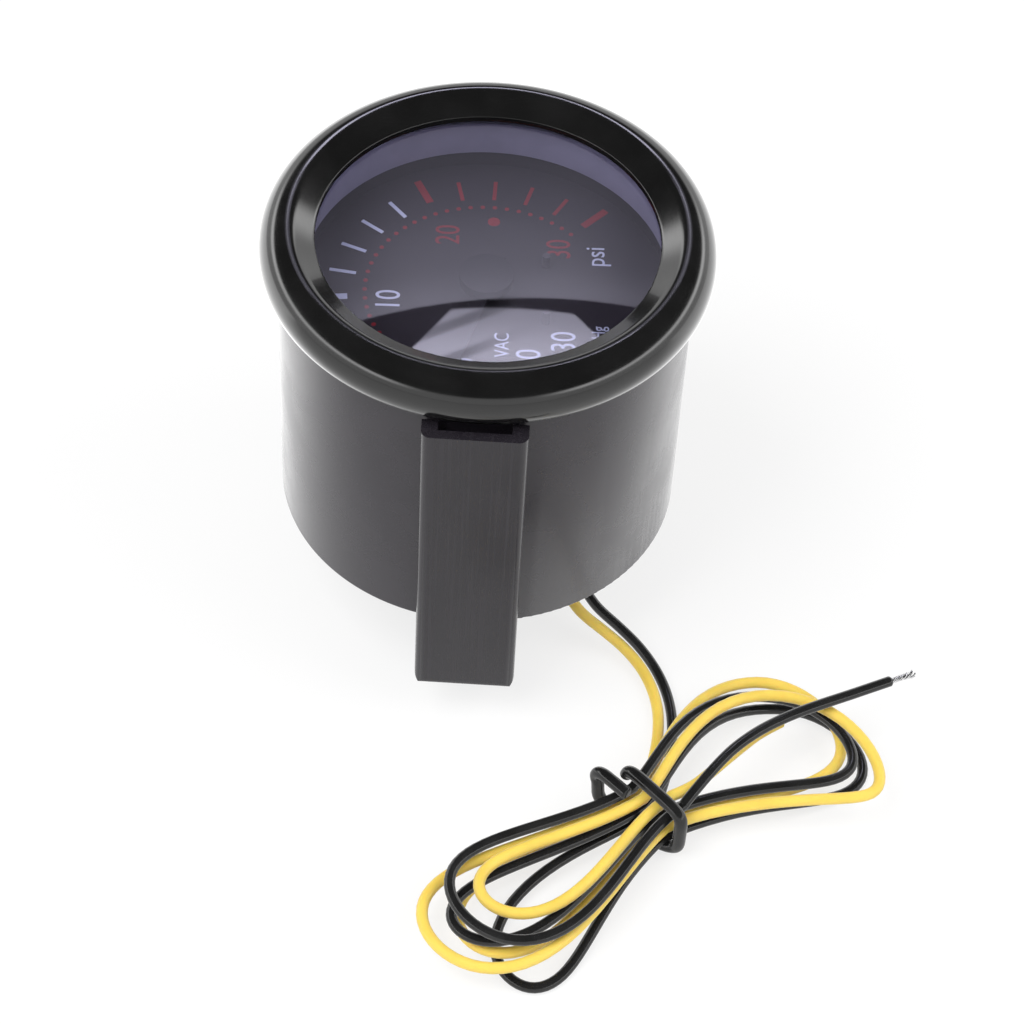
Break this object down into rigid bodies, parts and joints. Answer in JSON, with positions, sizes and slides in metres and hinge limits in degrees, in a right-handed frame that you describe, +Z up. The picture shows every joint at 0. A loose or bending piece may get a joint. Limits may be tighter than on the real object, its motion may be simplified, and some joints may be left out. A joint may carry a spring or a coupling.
{
  "type": "boost gauge",
  "caption": "Round dashboard boost gauge: a can with a smoked lens and dial, a working pressure movement, a U clamp bracket at the back and two leads in a tied hank.",
  "frame": {"origin": "under the middle of the gauge, on the surface that its two thumb nuts stand on", "axes": "+Z up along the gauge's axis, out of the dial; -Y towards the leg at the dial's bottom edge as pictured; +X to the picture's right"},
  "size_m": [0.0874, 0.1003, 0.062],
  "materials": {
    "can_paint": "satin black paint",
    "bezel_gloss": "gloss black paint",
    "smoked_lens": "smoked, polished",
    "black_rubber": "matt",
    "reflector_grey": "satin",
    "black_plastic": "matt",
    "dial_face": "matt, printed",
    "clear_plastic": "clear",
    "board_green": "satin",
    "lamp_white": "gloss",
    "bright_steel": "plain",
    "white_plastic": "matt",
    "brass": "plain",
    "tube_bronze": "plain",
    "blue_steel": "plain",
    "pointer_black": "matt",
    "bracket_paint": "satin black paint",
    "nut_black": "satin",
    "yellow_wire": "soft gloss",
    "black_wire": "gloss",
    "tinned_copper": "bright",
    "tie_black": "gloss"
  },
  "bodies": {
    "housing": {"case": "can_paint", "bezel": "bezel_gloss", "lens": "smoked_lens", "lens_gasket": "black_rubber", "reflector_ring": "reflector_grey", "dial_clamp_ring": "black_plastic", "dial": "dial_face", "light_guide": "clear_plastic", "lamp_board": "board_green", "lamps": "lamp_white", "board_screws": "bright_steel", "inner_cup": "white_plastic", "movement_base": "brass", "lower_plate": "brass", "upper_plate": "brass", "pillars": "brass", "movement_screws": "bright_steel", "pressure_tube": "tube_bronze", "tube_tip": "brass", "hairspring": "blue_steel", "hairspring_stud": "brass", "stop_pins": "black_plastic", "hose_nipple": "brass", "nipple_washer": "black_rubber", "mounting_studs": "bright_steel", "wire_grommet": "black_rubber", "yellow_inner_lead": "yellow_wire", "black_inner_lead": "black_wire", "yellow_lead": "yellow_wire", "yellow_hank": "yellow_wire", "yellow_tail": "yellow_wire", "yellow_strands": "tinned_copper", "black_lead": "black_wire", "black_hank": "black_wire", "black_tail": "black_wire", "black_strands": "tinned_copper", "wire_tie": "tie_black"},
    "needle": {"pinion_spindle": "bright_steel", "hairspring_collet": "brass", "pointer": "pointer_black", "pointer_cap": "black_plastic"},
    "sector": {"sector_gear": "brass", "sector_arbor": "bright_steel"},
    "link_arm": {"link": "bright_steel", "link_pin": "bright_steel"},
    "clamp": {"bracket": "bracket_paint", "lock_washers": "bright_steel"},
    "front_nut": {"thumb_nut_front": "nut_black"},
    "rear_nut": {"thumb_nut_rear": "nut_black"}
  },
  "joints": [
    {"name": "pointer_turn", "type": "hinge", "parent": "housing", "child": "needle", "pos_m": [0, 0, 0.0509], "axis": [0, 0, 1], "range_deg": [-210, 60]},
    {"name": "sector_swing", "type": "hinge", "parent": "housing", "child": "sector", "pos_m": [-0.00823, 0.01133, 0.0375], "axis": [0, 0, 1], "range_deg": [-9, 30.5]},
    {"name": "link_swing", "type": "hinge", "parent": "sector", "child": "link_arm", "pos_m": [-0.00373, 0.01133, 0.0387], "axis": [0, 0, 1], "range_deg": [-34, 10]},
    {"name": "bracket_slide", "type": "slide", "parent": "housing", "child": "clamp", "axis": [0, 0, -1], "range_m": [0, 0.0028]},
    {"name": "front_nut_turn", "type": "hinge", "parent": "clamp", "child": "front_nut", "pos_m": [0, -0.016, 0.0027], "axis": [0, 0, -1], "range_deg": [0, 1440]},
    {"name": "rear_nut_turn", "type": "hinge", "parent": "clamp", "child": "rear_nut", "pos_m": [0, 0.016, 0.0027], "axis": [0, 0, -1], "range_deg": [0, 1440]}
  ],
  "couplings": [
    {"joint": "sector_swing", "follows": "pointer_turn", "ratio": -0.14286},
    {"joint": "link_swing", "follows": "pointer_turn", "ratio": 0.16},
    {"joint": "front_nut_turn", "follows": "bracket_slide", "rad_per_m": 8976},
    {"joint": "rear_nut_turn", "follows": "bracket_slide", "rad_per_m": 8976}
  ]
}
